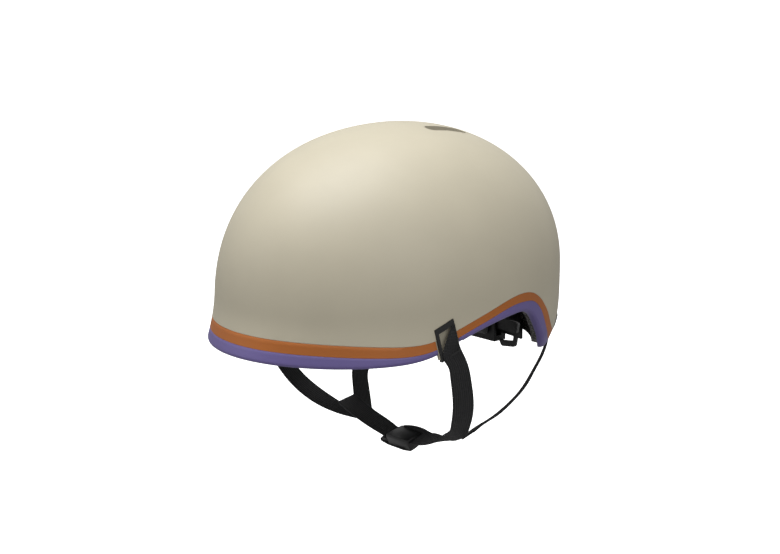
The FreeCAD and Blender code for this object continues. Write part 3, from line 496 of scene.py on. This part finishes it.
def stadium(grow, count=24):
    """Plan outline of the left crown vent."""
    radius = VENT_WIDTH / 2 + grow
    outline = []
    for middle, start in ((VENT_REAR - VENT_WIDTH / 2, 0.0), (VENT_FRONT + VENT_WIDTH / 2, math.pi)):
        for step in range(count + 1):
            turn = start + math.pi * step / count
            outline.append((VENT_OFFSET + radius * math.cos(turn), middle + radius * math.sin(turn)))
    return outline


def vent_cutters(grow):
    """Upright cutters for the two crown vents."""
    outline = [(y, x) for x, y in stadium(grow)]
    foot, along, upright = Vector((0, 0, 60)), Vector((0, 1, 0)), Vector((0, 0, 1))
    cutter = prism("vent_slot", outline, foot, along, upright, 0, 140)
    # the outline's second direction is -X here, so this one lies on the wearer's right
    return [cutter, flipped(cutter, "vent_slot_other")]


# ---------------------------------------------------------------- shell, stripe and trim
RING_SPREAD = 0.92                                  # below 1, rings crowd slightly towards the crown
VENT_GROW, SHELL_EDGE = 1.1, 0.3


def shell_rows(inset, rows):
    """Rings from the stripe's top edge up to near the crown."""
    base = line_level(STRIPE_TOP) + BAND_GAP
    top = CROWN - inset
    made = []
    for row in range(rows):
        share = (row / rows) ** RING_SPREAD
        level = base + (top - base) * math.sin(share * math.pi / 2)
        made.append(dome_points(ANGLES, level, inset))
    return made


def outer_shell():
    """Beige shell: the whole dome above the stripe, cut for the guides and the crown vents."""
    outer = shell_rows(0, rows=90)
    inner = shell_rows(SHELL_WALL, rows=40)
    lip = dome_points(ANGLES, line_level(STRIPE_TOP) + 0.02, 0.25)
    outer[0] = dome_points(ANGLES, line_level(STRIPE_TOP) + SHELL_EDGE, 0)
    rows = inner[::-1] + [lip] + outer
    points, faces = loops_around(rows, closed=False)
    crown_out, crown_in = len(points), len(points) + 1
    lean = dome_lean(CROWN)
    points = np.vstack([points, [0, lean, CROWN], [0, lean, CROWN - SHELL_WALL]])
    last = (len(rows) - 1) * AROUND
    for j in range(AROUND):
        k = (j + 1) % AROUND
        faces.append((last + j, last + k, crown_out))
        faces.append((j, k, crown_in))
    shell = mesh_from("shell", points, faces)
    cutters = pocket_cutters() + vent_cutters(VENT_GROW)
    carve(shell, cutters)
    remove(cutters)
    smooth_by_angle(shell)
    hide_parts("outer_shell")
    return finish_piece(shell, "helmet", SHELL)


BAND_SLOT_GROW, BAND_EASE = 0.9, 0.15


def banded(name, profile, material, node):
    """Closed band round the rim from (level, inset) rings, cut for the guides."""
    rows = [dome_points(ANGLES, level, inset) for level, inset in profile]
    points, faces = loops_around(rows)
    band = mesh_from(name, points, faces)
    cutters = pocket_cutters(BAND_SLOT_GROW)
    carve(band, cutters)
    remove(cutters)
    smooth_by_angle(band, 40)
    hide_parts(node)
    return finish_piece(band, "helmet", material)


def stripe_band():
    """Orange band with eased edges."""
    low, high = line_level(TRIM_TOP) + BAND_GAP, line_level(STRIPE_TOP) - BAND_GAP
    flat = high - low - 2 * BAND_EASE
    outside = [(low + BAND_EASE + flat * part, 0.0) for part in (0.0, 0.34, 0.67, 1.0)]
    profile = [(low, BAND_EASE)] + outside + [(high, BAND_EASE), (high, SHELL_WALL), (low, SHELL_WALL)]
    return banded("stripe", profile, STRIPE, "orange_stripe_band")


def rim_trim():
    """Purple trim that wraps round the bottom edge and turns in under the foam."""
    low, high = line_level(RIM), line_level(TRIM_TOP) - BAND_GAP
    ease, round_over, lip_height, steps = BAND_EASE, 3.0, 2.0, 8
    profile = [(high, SHELL_WALL), (high, ease), (high - ease, 0.0)]
    room = np.minimum(round_over, (high - low) * 0.75)
    profile += [(high - ease + (low + room - high + ease) * part, 0.0) for part in (0.33, 0.67)]
    for step in range(steps + 1):
        turn = math.radians(90) * step / steps
        profile.append((low + room * (1 - math.sin(turn)), round_over * (1 - math.cos(turn))))
    profile += [(low, TRIM_LIP - 0.6), (low + 0.5, TRIM_LIP)]
    profile += [(low + lip_height, TRIM_LIP), (low + lip_height, SHELL_WALL)]
    return banded("rim_trim_wrap", profile, TRIM, "rim_trim")


# ---------------------------------------------------------------- carried-over parts of the frame
def dress(node, material, bevel_mm, segments=3):
    """Finish for a part whose shape is right as it is: soft edges and its material."""
    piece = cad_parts[node]
    piece.data.materials.clear()
    piece.data.materials.append(material)
    for polygon in piece.data.polygons:
        polygon.use_smooth = True
    bevel(piece, bevel_mm, segments)


def bevel(piece, width_mm, segments=3):
    """Round a piece's sharp edges by the given width."""
    edge = piece.modifiers.new("eased edges", "BEVEL")
    edge.width = width_mm * MM
    edge.segments = segments
    edge.limit_method = "ANGLE"
    edge.angle_limit = math.radians(38)
    edge.harden_normals = True


def dress_frame_parts():
    """Parts that keep the frame's own shape."""
    dress("eps_liner", FOAM, 0.8)
    for node in ("vent_duct_left", "vent_duct_right"):
        dress(node, SHELL, 0.3)
    for node in ("front_strap_guide_left", "front_strap_guide_right",
                 "rear_strap_guide_left", "rear_strap_guide_right"):
        dress(node, PLASTIC, 0.5)
    for node in ("temple_pin_left", "temple_pin_right", "strap_anchor_discs", "dial_housing",
                 "cradle_yoke", "drive_pinion", "fit_band_left", "fit_band_right", "dial_knob"):
        dress(node, PLASTIC, 0.3)
    for node in ("housing_screws", "detent_spring", "base_magnet", "top_magnet"):
        dress(node, STEEL, 0.1, 2)


# ---------------------------------------------------------------- webbing
def distance_along(points):
    """Distance travelled along a row of points, from 0 at the first."""
    return np.concatenate([[0], np.cumsum(np.linalg.norm(np.diff(points, axis=0), axis=1))])


def resample(points, count):
    """Smooth curve through points, returned as count evenly spaced ones."""
    points = np.array([tuple(p) for p in points], float)
    travelled = distance_along(points)
    at = np.linspace(0, travelled[-1], count)
    return np.stack([smooth_line(travelled, points[:, axis])(at) for axis in range(3)], axis=1)


def rails(stations, width):
    """Two edges of a strap from (centre, width hint) stations."""
    centres = [Vector(point) for point, hint in stations]
    first, second = [], []
    for index, (point, hint) in enumerate(stations):
        tangent = centres[min(index + 1, len(centres) - 1)] - centres[max(index - 1, 0)]
        tangent.normalize()
        across = Vector(hint)
        across = (across - tangent * across.dot(tangent)).normalized()
        first.append(centres[index] - across * (width / 2))
        second.append(centres[index] + across * (width / 2))
    return first, second


# half thickness of the webbing across its width: rolled selvedges stand a little proud
STRAP_PROFILE = [(0.0, 0.30), (0.012, 0.72), (0.035, 0.95), (0.07, 1.0), (0.11, 0.86), (0.16, 0.82),
                 (0.28, 0.84), (0.42, 0.86), (0.5, 0.86), (0.58, 0.86), (0.72, 0.84), (0.84, 0.82),
                 (0.89, 0.86), (0.93, 1.0), (0.965, 0.95), (0.988, 0.72), (1.0, 0.30)]


def webbing(name, first, second, thickness=1.7, step_mm=2.0):
    """Woven strap between two edge curves, with UVs in metres for the weave."""
    edge = np.array([tuple(point) for point in first])
    length = np.linalg.norm(np.diff(edge, axis=0), axis=1).sum()
    count = max(int(length / step_mm), 6)
    one, two = resample(first, count), resample(second, count)
    along = np.gradient((one + two) / 2, axis=0)
    normal = np.cross(along, two - one)
    normal /= np.linalg.norm(normal, axis=1)[:, None]
    travelled = distance_along((one + two) / 2)
    width = np.linalg.norm(two - one, axis=1).mean()
    ring = [(share, half) for share, half in STRAP_PROFILE]
    ring += [(share, -half) for share, half in reversed(STRAP_PROFILE)]
    points = []
    for row in range(count):
        for share, half in ring:
            points.append(one[row] + (two[row] - one[row]) * share + normal[row] * half * thickness / 2)
    size = len(ring)
    faces = []
    for row in range(count - 1):
        here, there = row * size, (row + 1) * size
        for j in range(size):
            k = (j + 1) % size
            faces.append((here + j, here + k, there + k, there + j))
    half_ring = size // 2
    for base in (0, (count - 1) * size):
        for j in range(half_ring - 1):
            faces.append((base + j, base + j + 1, base + size - 2 - j, base + size - 1 - j))
    strap = mesh_from(name, points, faces)
    layer = strap.data.uv_layers.new(name="UVMap")
    for loop in strap.data.loops:
        row, place = divmod(loop.vertex_index, size)
        layer.data[loop.index].uv = (ring[place][0] * width * MM, travelled[row] * MM)
    smooth_by_angle(strap, 60)
    strap.data.materials.append(WEBBING)
    return strap


def guide_point(side, u, v, out, corner=FRONT_CORNER, across=FRONT_ACROSS, outward=FRONT_OUT):
    """Point in a guide's plane: u along its bar, v downwards, out of the shell."""
    point = corner + across * u - outward.cross(across) * v + outward * out
    return Vector((side * point.x, point.y, point.z))


# the two edges of each strap, from the rim or the junction down to the buckle; the front edge first
LEFT_STRAP = (
    [(106.8, -41.5, -4), (105, -38, -11), (101, -32.3, -25), (96, -26.8, -37), (90, -21.7, -47.5),
     (84, -17, -55.5), (74, -9.4, -64), (62, -3.5, -70.6), (50, 0, -78.5), (38, 2, -84.2), (26, 5, -88.2),
     (12.5, 7.5, -90.6)],
    [(107, -26.6, 2.0), (106.5, -22.3, -6), (104, -16.5, -19.3), (100, -10.5, -33), (94, -4.7, -46),
     (86, 0.5, -58), (77, 5, -69), (66, 9.5, -75.2), (52, 15, -80.4), (38, 19, -81.6), (26, 21.5, -82.8),
     (12.5, 21, -86.6)])
RIGHT_FRONT_STRAP = (
    [(-106.5, -42, -3), (-107, -33.5, -24), (-105, -23, -47), (-102, -13, -62), (-92, 0, -77.6),
     (-80, 11, -86), (-72, 18, -89.3), (-64, 23, -90.8)],
    [(-107, -27.1, 2.8), (-108, -15, -28), (-106, -1.5, -53), (-105, 8.6, -64.5), (-96.5, 15.3, -73),
     (-82.5, 22.8, -82), (-74, 26, -86), (-66, 29, -88)])
RIGHT_CHIN_STRAP = (
    [(-69, 8.5, -76.6), (-54, 4.6, -78.6), (-39.6, 3.4, -82.2), (-24, 5, -87.2), (-12.6, 6.5, -90.3)],
    [(-68.5, 26, -73.3), (-60, 24.8, -74.8), (-41.5, 21.6, -79.3), (-26, 21, -82.8), (-12.6, 20, -86.2)])
# middle line of the wearer's left rear strap, which has one width direction all the way down
LEFT_REAR_STRAP = [(69.5, 95.0, -18.0), (68.0, 92.0, -27.0), (66.0, 86.0, -37.5), (65.0, 78.0, -47.8),
                   (65.0, 61.4, -58.8), (66.0, 43.5, -65.6), (68.0, 27.0, -68.6), (72.0, 12.0, -71.4)]
RIGHT_REAR_STRAP = (
    [(-76, 90, -20), (-79, 74, -26), (-78, 52, -35), (-75, 34, -45), (-74, 28, -56), (-73, 27.4, -65),
     (-70, 26, -74.4), (-66, 25, -84)],
    [(-66, 94, -28), (-74, 82, -39), (-77, 64, -47.5), (-76, 50, -54), (-74, 44, -61), (-72, 43, -69),
     (-69, 42, -77.5), (-66, 41, -87)])
LEFT_REAR_HINT = Vector((0.71, -0.66, 0.25))
REAR_WIDTH = 15.0


def side_name(side):
    return "left" if side > 0 else "right"


def fold(side):
    """Edges of the webbing where it comes diagonally down from a front guide's top bar."""
    front = [(14.4, 2.8, 0.9), (7.1, 8.2, 1.1), (0.0, 14.6, 1.3), (-3.6, 20.4, 1.5)]
    rear = [(15.2, 3.0, 0.9), (13.4, 10.0, 1.2), (11.6, 17.6, 1.4)]
    return [[guide_point(side, u, v, out) for u, v, out in edge] for edge in (front, rear)]


def front_strap(side):
    """Strap from its diagonal fold in the front guide; on the wearer's left it runs on to the buckle."""
    name = side_name(side)
    front_edge, rear_edge = LEFT_STRAP if side == LEFT else RIGHT_FRONT_STRAP
    folded = fold(side)
    strap = webbing(name + "_front_strap_web", folded[0] + front_edge, folded[1] + rear_edge)
    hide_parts("front_strap_" + name, "front_strap_end_" + name)
    if side == LEFT:
        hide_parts("chin_strap_left")
    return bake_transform(strap)


def chin_strap():
    """The wearer's right chin strap, from the junction to the buckle."""
    strap = webbing("right_chin_strap_web", *RIGHT_CHIN_STRAP)
    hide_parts("chin_strap_right", "strap_junction_right")
    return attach(strap, "right_harness")


def buckle_loop():
    """Second layer of the left webbing, arching up behind the buckle's plate."""
    front_edge = [(-8, 21.2, -86.5), (-1, 21.2, -86), (6, 21.2, -85.8), (13.5, 20.8, -86),
                  (19, 19.8, -86.6), (27, 18, -87)]
    rear_edge = [(-8, 22.4, -84.2), (-1, 22.4, -82.5), (6, 22.2, -81.7), (13.5, 22, -81.7),
                 (19, 21.8, -82.4), (27, 21.2, -83)]
    loop = webbing("buckle_loop_web", front_edge, rear_edge)
    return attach(loop, "left_harness")


def rear_strap(side):
    """Strap from the rear guide down to the junction."""
    name = side_name(side)
    if side == LEFT:
        front_edge, rear_edge = rails([(point, LEFT_REAR_HINT) for point in LEFT_REAR_STRAP], REAR_WIDTH)
        front_edge, rear_edge = rear_edge, front_edge
    else:
        front_edge, rear_edge = RIGHT_REAR_STRAP
    middle = [guide_point(side, GUIDE_WIDTH / 2 - 1, v, out, REAR_CORNER, REAR_ACROSS, REAR_OUT)
              for v, out in ((1.0, 0.2), (8.0, 1.3), (15.5, 1.0))]
    reach = Vector((side * REAR_ACROSS.x, REAR_ACROSS.y, 0)) * (REAR_WIDTH / 2)
    front_edge = [point - reach for point in middle] + list(front_edge)
    rear_edge = [point + reach for point in middle] + list(rear_edge)
    strap = webbing(name + "_rear_strap_web", front_edge, rear_edge)
    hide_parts("rear_strap_" + name)
    if side == LEFT:
        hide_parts("strap_junction_left")
    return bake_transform(strap)


# ---------------------------------------------------------------- chin buckle
def about_pivot(radius, turn):
    """(y, z) on a circle about the harness pivot line; turn is below the horizontal, in degrees."""
    angle = math.radians(turn)
    return HARNESS_PIVOT.y + radius * math.cos(angle), HARNESS_PIVOT.z - radius * math.sin(angle)


def lofted(name, sections):
    """Closed solid through (x, outline) sections that share one number of points."""
    count = len(sections[0][1])
    points = [(x, y, z) for x, outline in sections for y, z in outline]
    faces = [tuple(range(count)), tuple(range(len(points) - 1, len(points) - count - 1, -1))]
    for row in range(len(sections) - 1):
        base = row * count
        for j in range(count):
            k = (j + 1) % count
            faces.append((base + j, base + k, base + k + count, base + j + count))
    return mesh_from(name, points, faces)


MATE_RADIUS, MATE_GAP = 115.2, 0.15                 # the two halves meet on a circle about the pivot line
MATE_MIDDLE, MATE_STEPS = 60.4, 8


def buckle_upper():
    """Left half: block with a sloping plate on top and the hollow mating face below."""
    face = [about_pivot(MATE_RADIUS, turn) for turn in np.linspace(65.0, 56.0, MATE_STEPS + 1)]
    outline = face + [(23.4, -86.1), (22.0, -84.3), (13.8, -86.1), (5.4, -87.9), (5.6, -90.0)]
    return lofted("buckle_upper", [(-10.5, outline), (13.8, outline)])


def buckle_tray():
    """Right half: boat-shaped tray below the mating face; sections are (x, depth, half turn)."""
    sections = []
    top_radius = MATE_RADIUS + MATE_GAP
    for x, deep, reach in ((-23.0, 1.3, 3.2), (-20.5, 2.0, 4.1), (-11.6, 2.7, 4.7), (6.0, 3.0, 4.9),
                           (13.0, 2.4, 4.4)):
        turns = np.linspace(MATE_MIDDLE + reach, MATE_MIDDLE - reach, MATE_STEPS + 1)
        top = [about_pivot(top_radius, turn) for turn in turns]
        low = [about_pivot(top_radius + deep * math.sin(math.radians(25 + 130 * step / MATE_STEPS)), turn)
               for step, turn in enumerate(turns[::-1])]
        sections.append((x, top + low))
    return lofted("buckle_tray", sections)


def buckle_bar():
    """Raised bar at the tray's outer end."""
    front_turn, rear_turn = 64.3, 57.2
    face = [about_pivot(MATE_RADIUS - 2.6, turn) for turn in (front_turn, rear_turn)]
    face += [about_pivot(MATE_RADIUS + 0.4, turn) for turn in (rear_turn, front_turn)]
    return lofted("buckle_tray_bar", [(-19.3, face), (-12.4, face)])


def buckle():
    """Both halves of the chin buckle, each on its own side of the harness."""
    body, tray, bar = buckle_upper(), buckle_tray(), buckle_bar()
    for piece, node, harness, ease in ((body, "buckle_base", "left_harness", 0.8),
                                       (tray, "buckle_top", "right_harness", 0.5),
                                       (bar, None, "right_harness", 0.8)):
        bevel(piece, ease)
        settle(piece)
        smooth_by_angle(piece, 50)
        if node:
            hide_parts(node)
        finish_piece(piece, harness, SOFT_PLASTIC)


# ---------------------------------------------------------------- padded fabric
VOXEL_MM, PAD_PRESSURE, CLOTH_FRAMES = 3.0, 4.0, 20


def cushion(node, name, body, shrink_mm=0.7, cap_mm=3.0):
    """Knit-covered pad: remeshed, blown up by a short cloth simulation and smoothed."""
    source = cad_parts[node]
    piece = link(name, source.data.copy())
    remesh = piece.modifiers.new("even mesh", "REMESH")
    remesh.mode = "VOXEL"
    remesh.voxel_size = VOXEL_MM * MM
    ease = piece.modifiers.new("round edges", "CORRECTIVE_SMOOTH")
    ease.iterations = 8
    ease.use_only_smooth = True
    settle(piece)
    shrink = piece.modifiers.new("slim", "DISPLACE")
    shrink.strength = -shrink_mm * MM
    shrink.mid_level = 0
    settle(piece)
    puff(piece, cap_mm)
    finer = piece.modifiers.new("finer", "SUBSURF")
    finer.levels = 1
    finer.render_levels = 1
    settle(piece)
    for polygon in piece.data.polygons:
        polygon.use_smooth = True
    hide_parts(node)
    return finish_piece(piece, body, PAD)


def puff(piece, cap_mm):
    """Inflate a closed pad with cloth, then cap how far each point has moved."""
    before = np.array([vertex.co for vertex in piece.data.vertices])
    cloth = piece.modifiers.new("cloth", "CLOTH")
    cloth.settings.use_pressure = True
    cloth.settings.uniform_pressure_force = PAD_PRESSURE
    cloth.settings.effector_weights.gravity = 0
    cloth.settings.quality = 5
    cloth.point_cache.frame_start = 1
    cloth.point_cache.frame_end = CLOTH_FRAMES
    scene = bpy.context.scene
    for step in range(1, CLOTH_FRAMES + 1):
        scene.frame_set(step)
    settle(piece)
    scene.frame_set(1)
    after = np.array([vertex.co for vertex in piece.data.vertices])
    move = after - before
    far = np.linalg.norm(move, axis=1)
    share = np.minimum(1.0, cap_mm * MM / np.maximum(far, 1e-9))
    piece.data.vertices.foreach_set("co", (before + move * share[:, None]).ravel())
    piece.data.update()


# ---------------------------------------------------------------- build
def build_helmet():
    """Every visible piece, from the shell inwards."""
    outer_shell()
    stripe_band()
    rim_trim()
    pocket_trays()
    dress_frame_parts()
    for side in (LEFT, RIGHT):
        front_strap(side)
        rear_strap(side)
    chin_strap()
    buckle_loop()
    buckle()
    for node in ("brow_pad", "crown_pad", "side_pad_left", "side_pad_right", "rear_pad"):
        cushion(node, node + "_cushion", "helmet")
    cushion("nape_pad", "nape_pad_cushion", "cradle", 0.4, 1.5)


# ---------------------------------------------------------------- studio
AZIMUTH, ELEVATION, ROLL = math.radians(47.9), math.radians(11.75), math.radians(-0.18)
CAMERA_DISTANCE, LENS, SENSOR = 1.5352, 96.67, 36
AIM = Vector((0, 0, 0.0677))
FRAME_SHIFT = (0.00146, -0.0544)
SURROUND_LIGHT, FLOOR_GLOW = 0.46, 0.72
FLOOR_HALF, FLOOR_DROP = 6.0, 0.15


def camera():
    """Camera at the reference view, from front left and slightly above."""
    level = math.cos(ELEVATION)
    back = Vector((math.sin(AZIMUTH) * level, -math.cos(AZIMUTH) * level, math.sin(ELEVATION)))
    data = bpy.data.cameras.new("camera")
    data.lens = LENS
    data.sensor_width = SENSOR
    data.shift_x, data.shift_y = FRAME_SHIFT
    made = bpy.data.objects.new("camera", data)
    facing = back.to_track_quat("Z", "Y").to_matrix().to_4x4()
    place = Matrix.Translation(AIM + back * CAMERA_DISTANCE)
    made.matrix_world = place @ facing @ Matrix.Rotation(ROLL, 4, "Z")
    bpy.context.scene.collection.objects.link(made)
    bpy.context.scene.camera = made


def softbox(name, where, target, width, height, power):
    """Rectangular soft light aimed at a target."""
    data = bpy.data.lights.new(name, "AREA")
    data.shape = "RECTANGLE"
    data.size, data.size_y = width, height
    data.energy = power
    made = bpy.data.objects.new(name, data)
    made.location = where
    made.rotation_euler = (Vector(where) - Vector(target)).to_track_quat("Z", "Y").to_euler()
    bpy.context.scene.collection.objects.link(made)


def bright_to_camera(tree, shown, seen_by_light):
    """Mix two shaders so that the camera sees the first and bounced light the second."""
    path = tree.nodes.new("ShaderNodeLightPath")
    mix = tree.nodes.new("ShaderNodeMixShader")
    tree.links.new(path.outputs["Is Camera Ray"], mix.inputs[0])
    tree.links.new(seen_by_light, mix.inputs[1])
    tree.links.new(shown, mix.inputs[2])
    return mix.outputs[0]


def surround():
    """White to the camera, dim as a light, so the softboxes shape the shell."""
    world = bpy.data.worlds.new("surround")
    world.use_nodes = True
    tree = world.node_tree
    dim = tree.nodes["Background"]
    dim.inputs["Color"].default_value = (1, 1, 1, 1)
    dim.inputs["Strength"].default_value = SURROUND_LIGHT
    white = tree.nodes.new("ShaderNodeBackground")
    white.inputs["Strength"].default_value = 1.0
    white.inputs["Color"].default_value = (1, 1, 1, 1)
    mixed = bright_to_camera(tree, white.outputs[0], dim.outputs[0])
    tree.links.new(mixed, tree.nodes["World Output"].inputs[0])
    bpy.context.scene.world = world


def floor():
    """Pale floor that throws little light back and can be looked through from below."""
    half, level = FLOOR_HALF, CAD_BOX[0][2] - FLOOR_DROP
    corners = [(-half, -half), (half, -half), (half, half), (-half, half)]
    mesh = bpy.data.meshes.new("floor")
    mesh.from_pydata([(x, y, level) for x, y in corners], [], [(0, 1, 2, 3)])
    plane = link("floor", mesh)
    finish = Finish("floor_pale", (0.93, 0.93, 0.93), 0.9)
    tree = finish.tree
    dull = finish.node("ShaderNodeBsdfDiffuse")
    dull.inputs["Color"].default_value = (0.35, 0.35, 0.35, 1)
    clear = finish.node("ShaderNodeBsdfTransparent")
    geometry = finish.node("ShaderNodeNewGeometry")
    sided = finish.node("ShaderNodeMixShader")
    glow = finish.node("ShaderNodeEmission")
    glow.inputs["Strength"].default_value = FLOOR_GLOW
    lit = finish.node("ShaderNodeAddShader")
    finish.join(finish.shader.outputs[0], lit.inputs[0])
    finish.join(glow.outputs[0], lit.inputs[1])
    shown = bright_to_camera(tree, lit.outputs[0], dull.outputs[0])
    finish.join(geometry.outputs["Backfacing"], sided.inputs[0])
    finish.join(shown, sided.inputs[1])
    finish.join(clear.outputs[0], sided.inputs[2])
    finish.join(sided.outputs[0], tree.nodes["Material Output"].inputs["Surface"])
    plane.data.materials.append(finish.material)


def studio():
    """Pale floor, bright surround and three soft lights."""
    bpy.context.scene.view_settings.view_transform = "Standard"
    surround()
    floor()
    softbox("top_light", (-0.1, -0.25, 1.5), (0, 0, 0.1), 1.3, 1.3, 26)
    softbox("front_light", (-1.2, -1.5, 0.7), (0, 0, 0.05), 0.9, 1.2, 2.5)
    softbox("side_light", (1.7, -0.2, 0.9), (0, 0, 0.05), 0.7, 1.2, 4.5)


build_helmet()
studio()
camera()
